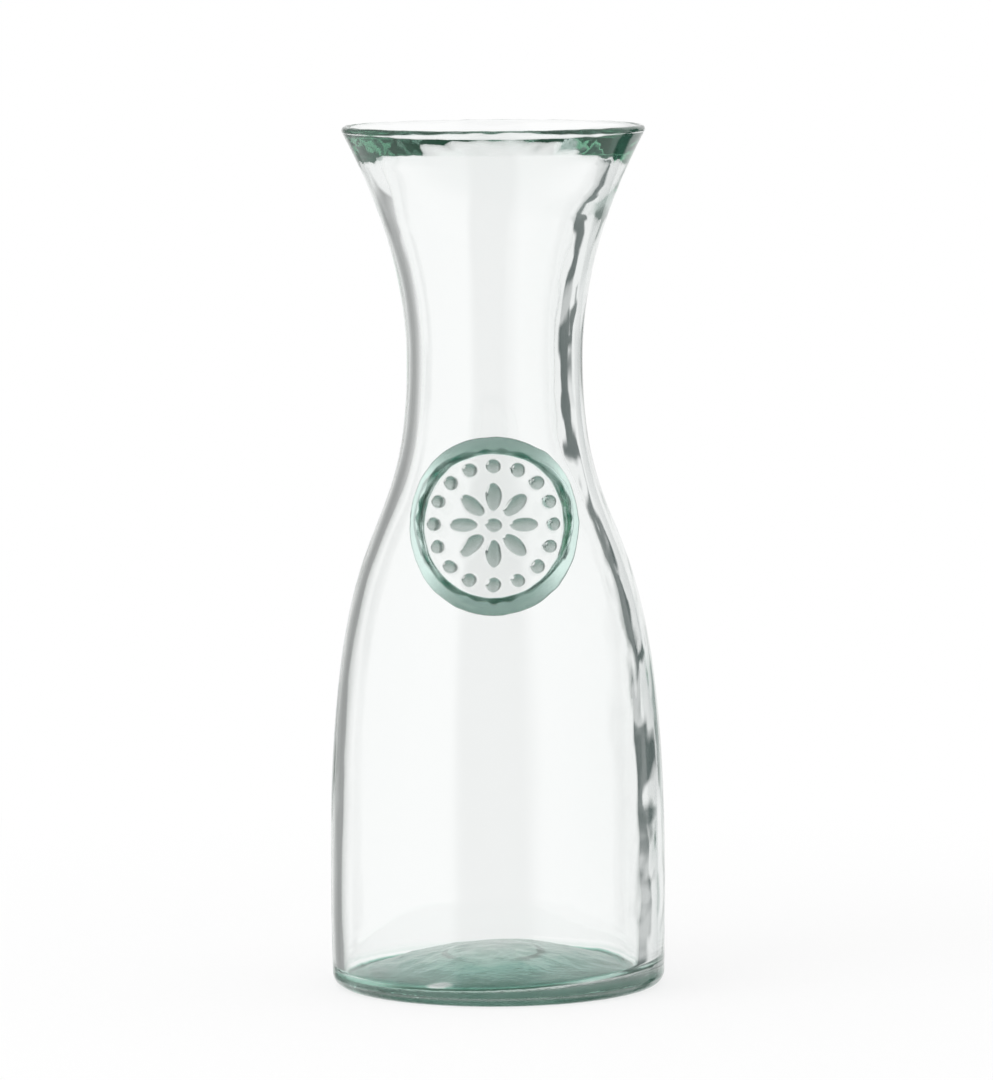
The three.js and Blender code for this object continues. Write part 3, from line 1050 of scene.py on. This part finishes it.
def make_surround(scene, studio):
    """White all round, while light that strayed finds the darker flags beside the white sweep."""
    world = bpy.data.worlds.new("studio")
    world.use_nodes = True
    world.node_tree.nodes.clear()
    scene.world = world
    shade = Shade(world.node_tree)
    place = shade.node("ShaderNodeTexCoord", output="Generated")
    level = mix(shade, strayed(shade), (*studio.background, 1), studio_round(shade, place, studio))
    spread = shade.node("ShaderNodeLightPath", output="Is Diffuse Ray")
    strength = 1 - spread * (1 - studio.sky)
    light = shade.node("ShaderNodeBackground", inputs={"Color": level, "Strength": strength})
    shade.node("ShaderNodeOutputWorld", inputs={"Surface": light})


# The lamp and the camera
LAMP_PLACE = Vector((-0.75, -0.55, 1.1))
LAMP_AIM = Vector((0, 0, 0.1))
LAMP_SIZE = 0.9
CAMERA_PLACE = Vector((0.0002, -2.242, 0.355))
CAMERA_AIM = Vector((0.0002, 0, 0.1375))
CAMERA_ROLL = math.radians(-0.38)
CAMERA_LENS = 244.1
CAMERA_SENSOR = 36
CAMERA_FAR = 20
# Turns that light may take in the thick glass
BOUNCES = 32
MIRROR_BOUNCES = 24


class CARAFE_OT_set_stage(bpy.types.Operator):
    """Sets the floor, the white surround, the soft lamp and the camera"""

    bl_idname = "carafe.set_stage"
    bl_label = "Set the stage"

    def execute(self, context):
        scene = context.scene
        studio = scene.studio_look
        make_floor(studio)
        make_surround(scene, studio)
        bpy.ops.object.light_add(type="AREA", location=LAMP_PLACE)
        lamp = context.object
        lamp.name = "soft_lamp"
        lamp.data.shape = "DISK"
        lamp.data.size = LAMP_SIZE
        lamp.data.energy = studio.lamp
        lamp.rotation_euler = (LAMP_AIM - LAMP_PLACE).to_track_quat("-Z", "Y").to_euler()
        lamp.visible_camera = False
        lamp.visible_glossy = False
        lamp.visible_transmission = False
        level = (CAMERA_AIM - CAMERA_PLACE).to_track_quat("-Z", "Y").to_matrix().to_4x4()
        turn = level @ Matrix.Rotation(CAMERA_ROLL, 4, "Z")
        bpy.ops.object.camera_add(location=CAMERA_PLACE, rotation=turn.to_euler())
        camera = context.object
        camera.data.sensor_fit = "VERTICAL"
        camera.data.sensor_height = CAMERA_SENSOR
        camera.data.lens = CAMERA_LENS
        camera.data.clip_end = CAMERA_FAR
        scene.camera = camera
        scene.view_settings.view_transform = "Standard"
        scene.cycles.max_bounces = BOUNCES
        scene.cycles.glossy_bounces = MIRROR_BOUNCES
        scene.cycles.transmission_bounces = BOUNCES
        return {"FINISHED"}


class CARAFE_PT_panel(bpy.types.Panel):
    """Lists the carafe's pieces and their sizes"""

    bl_idname = "CARAFE_PT_panel"
    bl_label = "Carafe"
    bl_space_type = "VIEW_3D"
    bl_region_type = "UI"
    bl_category = "Carafe"

    def draw(self, context):
        for operator in OPERATORS:
            self.layout.operator(operator.bl_idname)
        for name, group in GROUPS.items():
            column = self.layout.column(align=True)
            column.label(text=group.__doc__)
            for key in group.__annotations__:
                column.prop(getattr(context.scene, name), key)


GROUPS = {
    "carafe_sizes": CarafeSizes,
    "seal_sizes": SealSizes,
    "glass_look": GlassLook,
    "studio_look": StudioLook,
}
OPERATORS = (CARAFE_OT_blow_body, CARAFE_OT_stamp_seal, CARAFE_OT_set_stage)
CLASSES = (*GROUPS.values(), *OPERATORS, CARAFE_PT_panel)


def register():
    for kind in CLASSES:
        bpy.utils.register_class(kind)
    for name, group in GROUPS.items():
        setattr(bpy.types.Scene, name, bpy.props.PointerProperty(type=group))


def unregister():
    for name in GROUPS:
        delattr(bpy.types.Scene, name)
    for kind in reversed(CLASSES):
        bpy.utils.unregister_class(kind)


def main():
    register()
    bpy.ops.carafe.blow_body()
    bpy.ops.carafe.stamp_seal()
    bpy.ops.carafe.set_stage()


if __name__ == "__main__":
    main()
